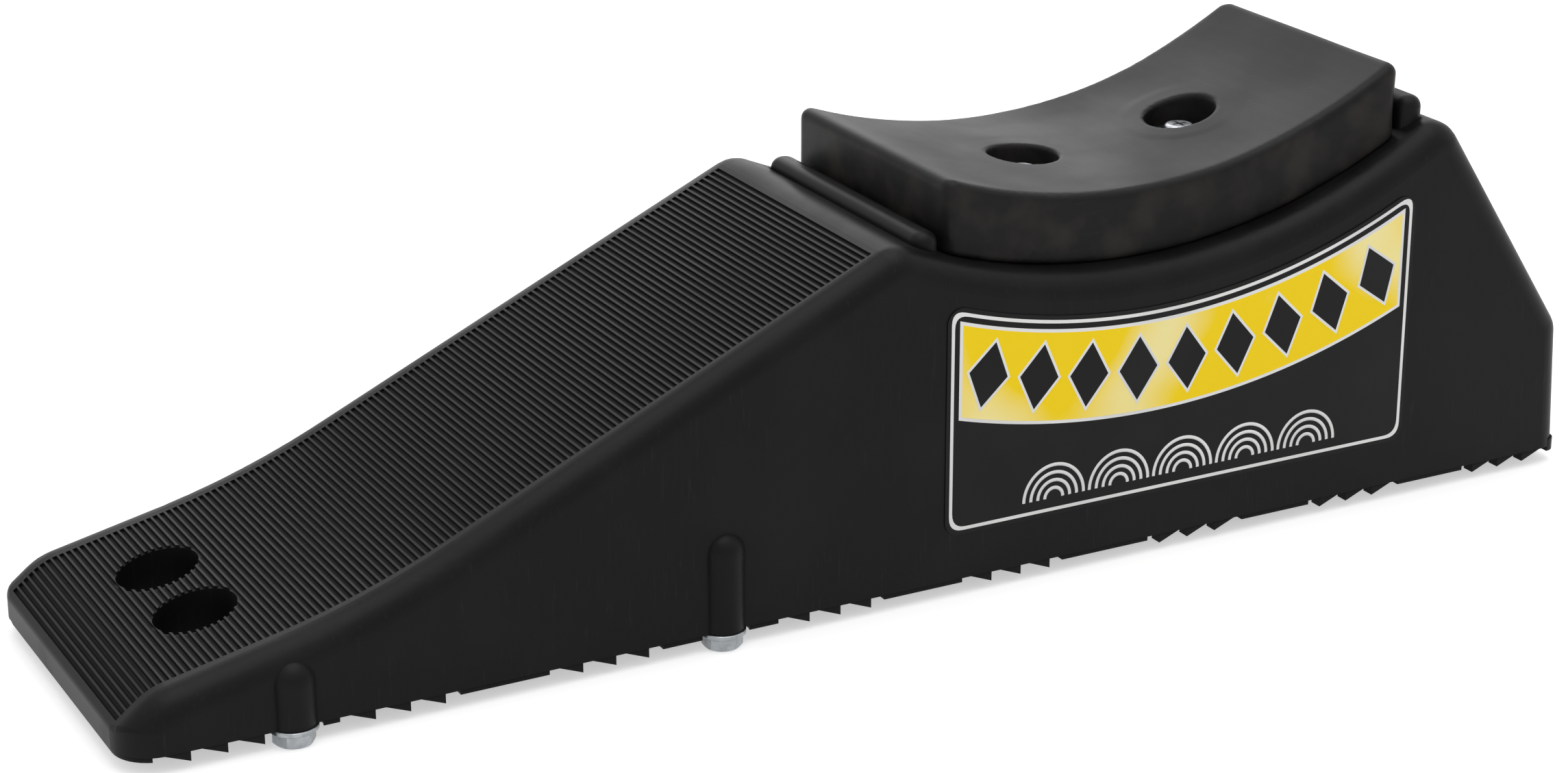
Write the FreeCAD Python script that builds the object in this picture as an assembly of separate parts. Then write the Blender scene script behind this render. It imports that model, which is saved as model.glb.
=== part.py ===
"""Drive-on ramp that lifts one wheel of a twin-axle trailer.

Lengths are in millimetres. While the pieces are made, x runs from the nose to the rear, y is zero on the
centre line with the labelled side at negative y, and z is zero at the tips of the sole's teeth. Each
finished piece is then moved so that the origin lies on the ground under the middle of the ramp.
"""
import FreeCAD, Part
import math
import os

from FreeCAD import Vector

# Overall form of the moulded body
LENGTH = 610.0
WIDTH = 144.0
WALL = 6.0
SIDE_DRAFT = 1.0
NOSE_CORNER = 15.0
REAR_CORNER = 6.0
LEAST_CORNER = 1.0
CORNER_PROUD = 0.05
EDGE_ROUND = 10.0

# Ramp surface, from the nose face to the crest
NOSE_FACE_TOP = 12.4
NOSE_ANGLE = 39.0
NOSE_ROUND = 24.0
NOSE_EDGE_ROUND = 2.5
LEAD_IN_ANGLE = 12.6
LEAD_IN_START = 13.5
RAMP_ANGLE = 25.0
RAMP_START = 92.0
RAMP_ROUND = 320.0

# Saddle that carries the wheel: a hollow arc from the crest to the rear rim
SADDLE_X = 403.5
SADDLE_FLOOR = 112.5
SADDLE_RADIUS = 255.6
CREST_ROUND = 14.0

# Rear end
BACK_FOOT_X = 607.0
BACK_FOOT_HEIGHT = 57.0
BACK_ANGLE = 56.0
RIM_ROUND = 13.0
KNEE_ROUND = 12.0

# Saw-tooth sole along the bottom of the walls
TOOTH_PITCH = 12.9
TOOTH_HEIGHT = 4.0
TOOTH_ROOT = 2.8
TEETH_PER_GROUP = 3
FORWARD_GROUPS = (10.4, 76.0, 154.0, 244.9, 322.7)
REVERSED_GROUPS = (411.6, 488.1, 565.0)
FLAT_HEIGHT = 2.0
SOLE_INSET = 0.8
SOLE_GRIP = 3.0

# Grooves across the ramp
GROOVE_PITCH = 2.6
GROOVE_WIDTH = 1.7
GROOVE_DEPTH = 0.9
GROOVE_LENGTH = 117.6
GROOVE_FIRST_X = 1.6
GROOVE_LAST_X = 288.5

# Raised ridges before and behind the pad
RIDGE_WIDTH = 11.0
RIDGE_LENGTH = 114.0
RIDGE_ROUND = 4.5
RIDGE_HEIGHTS = (6.5, 10.0)
RIDGE_ROOT = 3.6
RIDGE_GAP = 2.0

# Round holes through the nose
NOSE_HOLE_X = 44.0
NOSE_HOLE_SPACING = 40.0
NOSE_HOLE_RADIUS = 14.75
NOSE_TUBE_WALL = 4.0

# Ribs under the skin
LONG_RIB_Y = 23.0
LONG_RIB_THICK = 5.0
CROSS_RIB_THICK = 4.0
CROSS_RIB_PITCH = 40.0
CROSS_RIB_FIRST_X = 43.0
CROSS_RIB_COUNT = 14

# Rubber pad
PAD_X = 423.4
PAD_LENGTH = 204.0
PAD_WIDTH = 112.8
PAD_THICK = 26.8
PAD_FIT = 0.2
PAD_TOP_ROUND = 3.5
PAD_CORNER_ROUND = 5.0
PAD_FOOT_ROUND = 1.2
PAD_HOLE_OFFSETS = (-33.9, 39.0)
PAD_HOLE_RADIUS = 13.8
PAD_HOLE_CHAMFER = 0.8
PAD_STEP_DEPTH = 10.6

# Pan-head screws and washers in the pad
SCREW_RADIUS = 3.0
SCREW_LENGTH = 34.0
SCREW_HEAD_RADIUS = 6.0
SCREW_HEAD_HEIGHT = 4.0
SCREW_HEAD_ROUND = 1.6
SCREW_CLEAR = 0.5
SCREW_RECESS_WIDTH = 1.4
SCREW_RECESS_LENGTH = 6.4
SCREW_RECESS_DEPTH = 2.0
PAD_WASHER_RADIUS = 9.0
PAD_WASHER_THICK = 1.6

# Hexagon bolts and washers under the side bosses
BOLT_X = (60.5, 223.5)
BOLT_INSET = 4.0
BOLT_RADIUS = 4.0
BOLT_LENGTH = 16.0
BOLT_ACROSS_FLATS = 13.0
BOLT_HEAD_HEIGHT = 5.3
BOLT_HEAD_CHAMFER = 0.8
BOLT_CHAMFER_ANGLE = 30.0
BOLT_TURNS = (51.0, 31.0)
BOLT_WASHER_RADIUS = 8.7
BOLT_WASHER_THICK = 1.7

# Bosses that the bolts and screws go into
SIDE_BOSS_RADIUS = 8.0
SIDE_BOSS_TOPS = (28.0, 42.0)
SEAT_CLEAR = 1.3
SCREW_BOSS_RADIUS = 9.0
SCREW_BOSS_DEPTH = 30.0

# Brass threaded inserts
BOLT_INSERT_RADIUS = 5.5
BOLT_INSERT_LENGTH = 13.0
BOLT_INSERT_SINK = 1.0
SCREW_INSERT_RADIUS = 4.4
SCREW_INSERT_LENGTH = 12.0
SCREW_INSERT_SINK = 0.3

# Label on the near side wall
LABEL_LEFT_X = 314.0
LABEL_RIGHT_X = 526.0
LABEL_FOOT = 22.0
LABEL_MARGIN = 15.0
LABEL_CORNER = 6.0
LABEL_THICK = 0.4

# Clearances
FIT = 0.1
BORE_END = 1.0

# How near two places count as the same, and how far a side face's normal may turn from the Y axis
SAME = 0.01
SIDE_FACE_ANGLE = 25.0

BOLT_Y = WIDTH / 2 - BOLT_INSET
HEAD_DROP = BOLT_WASHER_THICK + BOLT_HEAD_HEIGHT - TOOTH_HEIGHT
TO_ORIGIN = Vector(-LENGTH / 2, 0, HEAD_DROP)
SADDLE_CENTRE = SADDLE_FLOOR + SADDLE_RADIUS
HIGH = LENGTH
SIDES = {"near": -1, "far": 1}
PAD_HOLE_NAMES = ("front", "rear")
BOLT_PAIR_NAMES = ("front", "middle")
UP = Vector(0, 0, 1)
ACROSS = Vector(0, 1, 0)


def point(x, z, y=0.0):
    return Vector(x, y, z)


def slope(angle):
    return math.tan(math.radians(angle))


def polygon(points):
    return Part.Face(Part.makePolygon(points + [points[0]]))


def across(face):
    """Push a face of the side view out to both sides, well past the walls."""
    moved = face.copy()
    moved.translate(ACROSS * -WIDTH)
    return moved.extrude(ACROSS * 2 * WIDTH)


def box(x_from, x_to, y_from, y_to, z_from, z_to):
    corner = Vector(x_from, y_from, z_from)
    return Part.makeBox(x_to - x_from, y_to - y_from, z_to - z_from, corner)


def cylinder(x, y, z_from, z_to, radius):
    return Part.makeCylinder(radius, z_to - z_from, Vector(x, y, z_from))


def stadium(length, width, height):
    """Bar with round ends, lying along y with its foot at z = 0."""
    straight = length / 2 - width / 2
    half = width / 2
    edges = [
        Part.Arc(point(-half, 0, -straight), point(0, 0, -length / 2), point(half, 0, -straight)).toShape(),
        Part.makeLine(point(half, 0, -straight), point(half, 0, straight)),
        Part.Arc(point(half, 0, straight), point(0, 0, length / 2), point(-half, 0, straight)).toShape(),
        Part.makeLine(point(-half, 0, straight), point(-half, 0, -straight)),
    ]
    return Part.Face(Part.Wire(edges)).extrude(UP * height)


def saddle_height(x, above=0.0):
    """Height at x of the saddle, or of an arc a given distance above it."""
    radius = SADDLE_RADIUS - above
    return SADDLE_CENTRE - math.sqrt(radius ** 2 - (x - SADDLE_X) ** 2)


def saddle_arc(x_from, x_to, above=0.0):
    places = (x_from, (x_from + x_to) / 2, x_to)
    return Part.Arc(*[point(x, saddle_height(x, above)) for x in places]).toShape()


def meet_saddle(start, direction):
    """Where a straight line first crosses the saddle's full circle."""
    unit = Vector(direction).normalize()
    offset = start - point(SADDLE_X, SADDLE_CENTRE)
    along = offset.dot(unit)
    reach = math.sqrt(along ** 2 - offset.dot(offset) + SADDLE_RADIUS ** 2)
    return start - unit * (along + reach)


def ramp_corners():
    """Corners of the ramp surface before they are rounded."""
    face_top = point(0, NOSE_FACE_TOP)
    lead_in = point(LEAD_IN_START, NOSE_FACE_TOP + LEAD_IN_START * slope(NOSE_ANGLE))
    ramp = point(RAMP_START, lead_in.z + (RAMP_START - LEAD_IN_START) * slope(LEAD_IN_ANGLE))
    crest = meet_saddle(ramp, point(1, slope(RAMP_ANGLE)))
    return face_top, lead_in, ramp, crest


def back_corners():
    """Corners of the rear end, from the rim down."""
    knee = point(BACK_FOOT_X, BACK_FOOT_HEIGHT)
    rim = meet_saddle(knee, point(-1, slope(BACK_ANGLE)))
    return rim, knee


def side_outline():
    """Side view of the body above the roots of the teeth, with sharp corners."""
    face_top, lead_in, ramp, crest = ramp_corners()
    rim, knee = back_corners()
    heel = point(LENGTH, TOOTH_HEIGHT)
    toe = point(0, TOOTH_HEIGHT)
    corners = [rim, knee, heel, toe, face_top, lead_in, ramp, crest]
    edges = [Part.makeLine(a, b) for a, b in zip(corners, corners[1:])]
    edges.append(saddle_arc(crest.x, rim.x))
    return Part.Face(Part.Wire(edges))


def upright(edge):
    return edge.BoundBox.XLength < SAME and edge.BoundBox.YLength < SAME


def crossing_edges(shape, corner):
    """Edges that run straight across the ramp through one corner of the side view."""
    found = []
    for edge in shape.Edges:
        centre = edge.CenterOfMass
        level = edge.BoundBox.XLength < SAME and edge.BoundBox.ZLength < SAME
        if level and abs(centre.x - corner.x) < SAME and abs(centre.z - corner.z) < SAME:
            found.append(edge)
    return found


def shoulder_edges(body):
    """Edges where the side walls meet the nose, ramp, saddle and back."""
    found = []
    least = math.cos(math.radians(SIDE_FACE_ANGLE))
    for edge in body.Edges:
        middle = edge.valueAt((edge.FirstParameter + edge.LastParameter) / 2)
        if middle.z < TOOTH_HEIGHT + SAME or middle.x < SAME:
            continue
        faces = body.ancestorsOfType(edge, Part.Face)
        normals = [face.normalAt(*face.Surface.parameter(middle)) for face in faces]
        if sum(abs(normal.y) > least for normal in normals) == 1:
            found.append(edge)
    return found


def rounded_profile():
    """The side view pushed across, with the corners of its top rounded."""
    body = across(side_outline())
    _, lead_in, ramp, crest = ramp_corners()
    rim, knee = back_corners()
    rounds = {
        RAMP_ROUND: ramp,
        NOSE_ROUND: lead_in,
        CREST_ROUND: crest,
        RIM_ROUND: rim,
        KNEE_ROUND: knee,
    }
    for radius, corner in rounds.items():
        body = body.makeFillet(radius, crossing_edges(body, corner))
    return body


def leaning_block(z_from, z_to, proud=0.0):
    """Block between the two side planes, which lean in so that the body leaves its mould."""
    sections = []
    for z in (z_from, z_to):
        half = WIDTH / 2 + proud - z * slope(SIDE_DRAFT)
        corners = [Vector(x, y, z) for x, y in (
            (-WALL, -half), (LENGTH + WALL, -half), (LENGTH + WALL, half), (-WALL, half))]
        sections.append(Part.makePolygon(corners + [corners[0]]))
    return Part.makeLoft(sections, True, True)


def plan_outline(inset, z):
    """Outline of the walls seen from above, with a larger radius at the nose."""
    half = WIDTH / 2 - inset - z * slope(SIDE_DRAFT)
    block = box(inset, LENGTH - inset, -half, half, z, z + 1)
    for x, radius in ((inset, NOSE_CORNER), (LENGTH - inset, REAR_CORNER)):
        edges = [edge for edge in block.Edges if upright(edge) and abs(edge.CenterOfMass.x - x) < SAME]
        block = block.makeFillet(max(radius - inset, LEAST_CORNER), edges)
    bottom = min(block.Faces, key=lambda face: face.CenterOfMass.z)
    return bottom.OuterWire


def plan_block(inset, z_from, z_to):
    return Part.makeLoft([plan_outline(inset, z_from), plan_outline(inset, z_to)], True, True)


def outer_form():
    """Outside of the moulding above the teeth, without its bosses and grooves.

    The upright corners are rounded last. Their rounds stand a hair proud of the walls, so that they
    cross them at a small angle and don't graze them.
    """
    body = rounded_profile().common(leaning_block(TOOTH_HEIGHT, HIGH)).Solids[0]
    body = body.makeFillet(EDGE_ROUND, shoulder_edges(body))
    body = body.common(plan_block(-CORNER_PROUD, TOOTH_HEIGHT, HIGH)).Solids[0]
    return body.makeFillet(NOSE_EDGE_ROUND, crossing_edges(body, ramp_corners()[0]))


def cavity_form():
    """Hollow under the skin, open at the bottom."""
    inner = side_outline().makeOffset2D(-WALL, 2)
    below = inner.copy()
    below.translate(UP * -2 * WALL)
    hollow = across(inner).fuse(across(below))
    return hollow.common(plan_block(WALL, -WALL, HIGH))


def rib_box(side, z_from, z_to):
    y = SIDES[side] * LONG_RIB_Y
    half = LONG_RIB_THICK / 2
    return box(WALL / 2, LENGTH - WALL / 2, y - half, y + half, z_from, z_to)


def ribs(cavity):
    """Grid of ribs that carries the ramp and the saddle, trimmed to the hollow."""
    grid = [rib_box(side, TOOTH_HEIGHT, HIGH) for side in SIDES]
    for number in range(CROSS_RIB_COUNT):
        x = CROSS_RIB_FIRST_X + number * CROSS_RIB_PITCH
        grid.append(box(x, x + CROSS_RIB_THICK, -WIDTH, WIDTH, TOOTH_HEIGHT, HIGH))
    return grid[0].multiFuse(grid[1:]).common(cavity)


def tooth(edge, direction):
    """One tooth: steep at its edge, and sloping back to the root of the next one."""
    back = edge - direction * (TOOTH_PITCH - TOOTH_ROOT)
    top = TOOTH_HEIGHT + SOLE_GRIP
    return across(polygon([point(edge, top), point(edge, 0), point(back, TOOTH_HEIGHT), point(back, top)]))


def flat(start, end):
    """Level run of the sole between two groups of teeth."""
    top = TOOTH_HEIGHT + SOLE_GRIP
    return across(polygon([
        point(start, top), point(start, FLAT_HEIGHT), point(end, FLAT_HEIGHT), point(end, top)]))


def sole_profile():
    """Teeth and flats over the full width: each half of the sole bites towards the middle."""
    group = TEETH_PER_GROUP * TOOTH_PITCH
    starts = [0.0]
    ends = []
    pieces = []
    for start in FORWARD_GROUPS:
        pieces += [tooth(start + (number + 1) * TOOTH_PITCH, 1) for number in range(TEETH_PER_GROUP)]
        ends.append(start)
        starts.append(start + group + 2 * TOOTH_ROOT)
    for start in REVERSED_GROUPS:
        pieces += [tooth(start + number * TOOTH_PITCH, -1) for number in range(TEETH_PER_GROUP)]
        ends.append(start - 2 * TOOTH_ROOT)
        starts.append(start + group)
    ends.append(LENGTH)
    pieces += [flat(start, end) for start, end in zip(starts, ends)]
    return Part.makeCompound(pieces)


def bolt_seats():
    """Round reliefs in the sole, where the washers bear on the bosses."""
    radius = BOLT_WASHER_RADIUS + SEAT_CLEAR
    return [cylinder(x, side * BOLT_Y, -WALL, TOOTH_HEIGHT, radius) for x in BOLT_X for side in SIDES.values()]


def sole():
    """The saw-tooth edge of the outer walls and of the two long ribs."""
    top = TOOTH_HEIGHT + SOLE_GRIP
    walls = plan_block(SOLE_INSET, 0, top).cut(plan_block(WALL, -WALL, HIGH))
    tracks = walls.multiFuse([rib_box(side, 0, top) for side in SIDES])
    return sole_profile().common(tracks).cut(Part.makeCompound(bolt_seats()))


def side_bosses():
    """Half-round columns with domed tops, which bulge from the walls above the bolts."""
    bosses = []
    for x, top in zip(BOLT_X, SIDE_BOSS_TOPS):
        for side in SIDES.values():
            shoulder = top - SIDE_BOSS_RADIUS
            column = cylinder(x, side * BOLT_Y, TOOTH_HEIGHT, shoulder, SIDE_BOSS_RADIUS)
            dome = Part.makeSphere(SIDE_BOSS_RADIUS, Vector(x, side * BOLT_Y, shoulder))
            bosses.append(column.fuse(dome))
    return bosses


def screw_bosses():
    """Columns under the saddle that hold the pad's screws."""
    bosses = []
    for x in pad_hole_places():
        surface = saddle_height(x)
        bosses.append(cylinder(x, 0, surface - SCREW_BOSS_DEPTH, surface - WALL / 2, SCREW_BOSS_RADIUS))
    return bosses


def ridges():
    """Bars with round ends across the saddle, before and behind the pad."""
    front, rear = pad_ends()
    away = PAD_FIT + RIDGE_GAP + RIDGE_WIDTH / 2
    bars = []
    for x, height in zip((front - away, rear + away), RIDGE_HEIGHTS):
        bar = stadium(RIDGE_LENGTH, RIDGE_WIDTH, RIDGE_ROOT + height)
        top = max(bar.Faces, key=lambda face: face.CenterOfMass.z)
        bar = bar.makeFillet(RIDGE_ROUND, top.Edges)
        bar.translate(point(x, saddle_height(x) - RIDGE_ROOT))
        bars.append(bar)
    return bars


def groove_path(outer):
    """The ramp's surface line on the centre plane, from the nose edge to the crest."""
    edges = []
    for edge in outer.slice(ACROSS, 0)[0].Edges:
        middle = edge.valueAt((edge.FirstParameter + edge.LastParameter) / 2)
        if middle.z > NOSE_FACE_TOP + SAME and middle.x < GROOVE_LAST_X:
            edges.append(edge)
    return Part.Wire(Part.__sortEdges__(edges))


def grooves(outer):
    """Slots across the ramp, evenly spaced along its surface and square to it."""
    places = sorted(groove_path(outer).discretize(Distance=GROOVE_PITCH), key=lambda place: place.x)
    half_width = GROOVE_WIDTH / 2
    half_length = GROOVE_LENGTH / 2
    slot = box(-half_width, half_width, -half_length, half_length, -GROOVE_DEPTH, GROOVE_DEPTH)
    slots = []
    for before, here, after in zip(places, places[1:], places[2:]):
        if GROOVE_FIRST_X < here.x < GROOVE_LAST_X:
            along = after - before
            groove = slot.copy()
            groove.rotate(Vector(), ACROSS, -math.degrees(math.atan2(along.z, along.x)))
            groove.translate(here)
            slots.append(groove)
    return slots


def nose_tubes(outer):
    """Walls round the nose holes, from the skin down to the flat of the sole."""
    radius = NOSE_HOLE_RADIUS + NOSE_TUBE_WALL
    tubes = []
    for side in SIDES.values():
        y = side * NOSE_HOLE_SPACING / 2
        upper = cylinder(NOSE_HOLE_X, y, TOOTH_HEIGHT, HIGH, radius).common(outer)
        tubes += [upper, cylinder(NOSE_HOLE_X, y, FLAT_HEIGHT, TOOTH_HEIGHT, radius)]
    return tubes


def nose_holes():
    """Plain through holes, which the grooves run into."""
    places = [side * NOSE_HOLE_SPACING / 2 for side in SIDES.values()]
    return [cylinder(NOSE_HOLE_X, y, -WALL, HIGH, NOSE_HOLE_RADIUS) for y in places]


def bolt_bores():
    """Stepped bores up into the side bosses, for the inserts and the ends of the bolts."""
    insert_end = bolt_insert_foot() + BOLT_INSERT_LENGTH
    bolt_end = bolt_seat() + BOLT_LENGTH + BORE_END
    tools = []
    for x in BOLT_X:
        for side in SIDES.values():
            y = side * BOLT_Y
            tools.append(cylinder(x, y, 0, insert_end, BOLT_INSERT_RADIUS + FIT))
            tools.append(cylinder(x, y, 0, bolt_end, BOLT_RADIUS + SCREW_CLEAR))
    return tools


def screw_insert_foot(x):
    """Lower end of the insert under a pad hole, whose top lies just under the saddle."""
    low_side = x - SCREW_INSERT_RADIUS * math.copysign(1, x - SADDLE_X)
    return saddle_height(low_side) - SCREW_INSERT_SINK - SCREW_INSERT_LENGTH


def screw_bores():
    """Stepped bores down into the saddle, for the inserts and the ends of the pad's screws."""
    tools = []
    for x in pad_hole_places():
        end = screw_head_seat(x) - SCREW_LENGTH - BORE_END
        tools.append(cylinder(x, 0, screw_insert_foot(x), HIGH, SCREW_INSERT_RADIUS + FIT))
        tools.append(cylinder(x, 0, end, HIGH, SCREW_RADIUS + SCREW_CLEAR))
    return tools


def ramp_body():
    """The one-piece moulding."""
    outer = outer_form()
    cavity = cavity_form()
    skin = outer.cut(cavity)
    additions = [ribs(cavity), sole()] + side_bosses() + screw_bosses() + ridges() + nose_tubes(outer)
    body = skin.multiFuse(additions)
    tools = grooves(outer) + nose_holes() + bolt_bores() + screw_bores()
    return body.cut(tools).removeSplitter()


def pad_ends():
    return PAD_X - PAD_LENGTH / 2, PAD_X + PAD_LENGTH / 2


def pad_hole_places():
    return [PAD_X + offset for offset in PAD_HOLE_OFFSETS]


def pad_top(x):
    return saddle_height(x, PAD_FIT + PAD_THICK)


def washer_seat(x):
    """Height of the step in a pad hole, where its washer lies."""
    return pad_top(x) - PAD_STEP_DEPTH


def screw_head_seat(x):
    return washer_seat(x) + PAD_WASHER_THICK


def foot_and_top(pad):
    """The two widest faces of the pad, the lower one first."""
    widest = sorted(pad.Faces, key=lambda face: face.Area)[-2:]
    return sorted(widest, key=lambda face: face.CenterOfMass.z)


def pad_block():
    """The pad as a plain block between two arcs, with square ends."""
    front, rear = pad_ends()
    foot = saddle_arc(front, rear, PAD_FIT)
    top = saddle_arc(front, rear, PAD_FIT + PAD_THICK)
    rise = [Part.makeLine(point(x, saddle_height(x, PAD_FIT)), point(x, pad_top(x))) for x in (front, rear)]
    face = Part.Face(Part.Wire([foot, rise[1], top, rise[0]]))
    face.translate(ACROSS * (-PAD_WIDTH / 2))
    return face.extrude(ACROSS * PAD_WIDTH)


def saddle_pad():
    """Thick rubber pad that follows the saddle, with two stepped holes."""
    pad = pad_block()
    pad = pad.makeFillet(PAD_CORNER_ROUND, [edge for edge in pad.Edges if upright(edge)])
    pad = pad.makeFillet(PAD_TOP_ROUND, foot_and_top(pad)[1].OuterWire.Edges)
    pad = pad.makeFillet(PAD_FOOT_ROUND, foot_and_top(pad)[0].OuterWire.Edges)
    for x in pad_hole_places():
        pad = pad.cut(cylinder(x, 0, washer_seat(x), HIGH, PAD_HOLE_RADIUS))
        pad = pad.cut(cylinder(x, 0, 0, HIGH, SCREW_RADIUS + SCREW_CLEAR))
    top = foot_and_top(pad)[1]
    mouths = [wire for wire in top.Wires if not wire.isSame(top.OuterWire)]
    return pad.makeChamfer(PAD_HOLE_CHAMFER, [edge for mouth in mouths for edge in mouth.Edges])


def washer(x, y, z, radius, hole_radius, thickness):
    return cylinder(x, y, z, z + thickness, radius).cut(cylinder(x, y, z, z + thickness, hole_radius))


def pad_screw(x):
    """Pan-head screw with a cross recess, standing on its washer."""
    seat = screw_head_seat(x)
    head = cylinder(x, 0, seat, seat + SCREW_HEAD_HEIGHT, SCREW_HEAD_RADIUS)
    rim = max(head.Edges, key=lambda edge: edge.CenterOfMass.z)
    head = head.makeFillet(SCREW_HEAD_ROUND, [rim])
    shank = cylinder(x, 0, seat - SCREW_LENGTH, seat, SCREW_RADIUS)
    long = SCREW_RECESS_LENGTH / 2
    short = SCREW_RECESS_WIDTH / 2
    floor = seat + SCREW_HEAD_HEIGHT - SCREW_RECESS_DEPTH
    recess = box(x - long, x + long, -short, short, floor, HIGH)
    recess = recess.fuse(box(x - short, x + short, -long, long, floor, HIGH))
    return head.fuse(shank).cut(recess).removeSplitter()


def bolt_seat():
    """Height of the underside of a sole washer, which the bolt's head bears on."""
    return TOOTH_HEIGHT - BOLT_WASHER_THICK


def bolt_insert_foot():
    return TOOTH_HEIGHT + BOLT_INSERT_SINK


def sole_bolt(x, y, turn):
    """Hexagon bolt with its head down, chamfered round the bottom."""
    seat = bolt_seat()
    foot = seat - BOLT_HEAD_HEIGHT
    corner = BOLT_ACROSS_FLATS / math.sqrt(3)
    angles = [math.radians(turn + 60 * number) for number in range(6)]
    outline = [Vector(x + corner * math.cos(a), y + corner * math.sin(a), foot) for a in angles]
    head = polygon(outline).extrude(UP * BOLT_HEAD_HEIGHT)
    foot_radius = corner - BOLT_HEAD_CHAMFER / slope(BOLT_CHAMFER_ANGLE)
    seat_radius = foot_radius + BOLT_HEAD_HEIGHT / slope(BOLT_CHAMFER_ANGLE)
    trim = Part.makeCone(foot_radius, seat_radius, BOLT_HEAD_HEIGHT, Vector(x, y, foot))
    shank = cylinder(x, y, seat, seat + BOLT_LENGTH, BOLT_RADIUS)
    return head.common(trim).fuse(shank)


def side_label():
    """Thin label on the near wall, its top edge following the saddle."""
    top = saddle_arc(LABEL_LEFT_X, LABEL_RIGHT_X, -LABEL_MARGIN)
    corners = [
        point(LABEL_RIGHT_X, saddle_height(LABEL_RIGHT_X, -LABEL_MARGIN)),
        point(LABEL_RIGHT_X, LABEL_FOOT),
        point(LABEL_LEFT_X, LABEL_FOOT),
        point(LABEL_LEFT_X, saddle_height(LABEL_LEFT_X, -LABEL_MARGIN)),
    ]
    edges = [Part.makeLine(a, b) for a, b in zip(corners, corners[1:])]
    block = across(Part.Face(Part.Wire([top] + edges)))
    for corner in corners:
        block = block.makeFillet(LABEL_CORNER, crossing_edges(block, corner))
    film = leaning_block(0, HIGH, LABEL_THICK).cut(leaning_block(-WALL, HIGH + WALL))
    return min(block.common(film).Solids, key=lambda solid: solid.CenterOfMass.y)


def pad_fasteners():
    """The screws that hold the pad, with their washers and the inserts they go into."""
    pieces = {}
    for x, place in zip(pad_hole_places(), PAD_HOLE_NAMES):
        pieces["pad_screw_" + place] = pad_screw(x)
        pieces["pad_washer_" + place] = washer(
            x, 0, washer_seat(x), PAD_WASHER_RADIUS, SCREW_RADIUS + SCREW_CLEAR, PAD_WASHER_THICK)
        pieces["pad_insert_" + place] = washer(
            x, 0, screw_insert_foot(x), SCREW_INSERT_RADIUS, SCREW_RADIUS + FIT, SCREW_INSERT_LENGTH)
    return pieces


def sole_fasteners():
    """The bolts under the side bosses, with their washers and the inserts they go into."""
    pieces = {}
    for x, pair, turn in zip(BOLT_X, BOLT_PAIR_NAMES, BOLT_TURNS):
        for side, sign in SIDES.items():
            y = sign * BOLT_Y
            place = pair + "_" + side
            pieces["sole_bolt_" + place] = sole_bolt(x, y, turn)
            pieces["sole_washer_" + place] = washer(
                x, y, bolt_seat(), BOLT_WASHER_RADIUS, BOLT_RADIUS + SCREW_CLEAR, BOLT_WASHER_THICK)
            pieces["sole_insert_" + place] = washer(
                x, y, bolt_insert_foot(), BOLT_INSERT_RADIUS, BOLT_RADIUS + FIT, BOLT_INSERT_LENGTH)
    return pieces


def main():
    os.makedirs("parts", exist_ok=True)
    pieces = {"ramp_body": ramp_body(), "saddle_pad": saddle_pad(), "side_label": side_label()}
    pieces.update(pad_fasteners())
    pieces.update(sole_fasteners())
    for name, shape in pieces.items():
        shape.translate(TO_ORIGIN)
        shape.exportStep("parts/" + name + ".step")
        print(name, len(shape.Solids), shape.isValid(), round(shape.Volume / 1000, 2), "cm3")


main()
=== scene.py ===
"""Looks for the drive-on ramp: its plastic, its rubber pad, its printed label, its bolts and the studio.

Lengths are in metres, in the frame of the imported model: x from the nose to the rear, the labelled wall at
negative y, and z up from the ground.
"""
import math

import bmesh
import bpy
from bpy.props import FloatProperty, FloatVectorProperty, IntProperty, PointerProperty
from mathutils import Matrix, Vector, noise


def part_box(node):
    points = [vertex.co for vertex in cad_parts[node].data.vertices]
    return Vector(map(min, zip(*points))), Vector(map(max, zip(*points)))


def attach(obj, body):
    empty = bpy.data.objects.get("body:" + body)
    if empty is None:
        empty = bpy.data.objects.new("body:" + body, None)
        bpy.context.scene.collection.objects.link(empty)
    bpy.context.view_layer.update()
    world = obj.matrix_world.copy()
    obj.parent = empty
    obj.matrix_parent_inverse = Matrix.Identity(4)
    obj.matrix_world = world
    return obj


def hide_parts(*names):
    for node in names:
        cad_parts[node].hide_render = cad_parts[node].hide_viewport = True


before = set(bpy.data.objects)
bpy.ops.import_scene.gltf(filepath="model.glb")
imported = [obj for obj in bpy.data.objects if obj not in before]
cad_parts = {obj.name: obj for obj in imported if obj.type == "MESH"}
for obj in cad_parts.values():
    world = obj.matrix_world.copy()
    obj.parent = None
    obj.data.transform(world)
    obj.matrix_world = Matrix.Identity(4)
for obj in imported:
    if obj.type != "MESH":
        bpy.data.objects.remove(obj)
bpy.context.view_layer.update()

bl_info = {
    "name": "Drive-on Ramp Looks",
    "version": (1, 0, 0),
    "blender": (4, 5, 0),
    "location": "3D View > Sidebar > Ramp",
    "description": "Gives the packed ramp its finishes, label, pad and studio",
    "category": "Object",
}

BODY = "root"
MERGE_DISTANCE = 1e-6
PAD_HOLE_NODES = ("pad_screw_front", "pad_screw_rear")
BOLT_PLACES = ("front_near", "front_far", "middle_near", "middle_far")

# The saddle's arc, which the label's top edge follows at a margin
SADDLE_CENTRE = Vector((0.0985, 0.0, 0.3711))
SADDLE_RADIUS = 0.2556
LABEL_MARGIN = 0.015
LABEL_TOP_RADIUS = SADDLE_RADIUS + LABEL_MARGIN
# Height of the thin band of points that counts as the label's top or bottom edge
EDGE_BAND = 1e-5

# Heights of the surface's normal between which a finish goes from nothing to full
LOOKING_UP = (0.35, 0.85)
LOOKING_SIDEWAYS = (0.75, 0.25)

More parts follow.
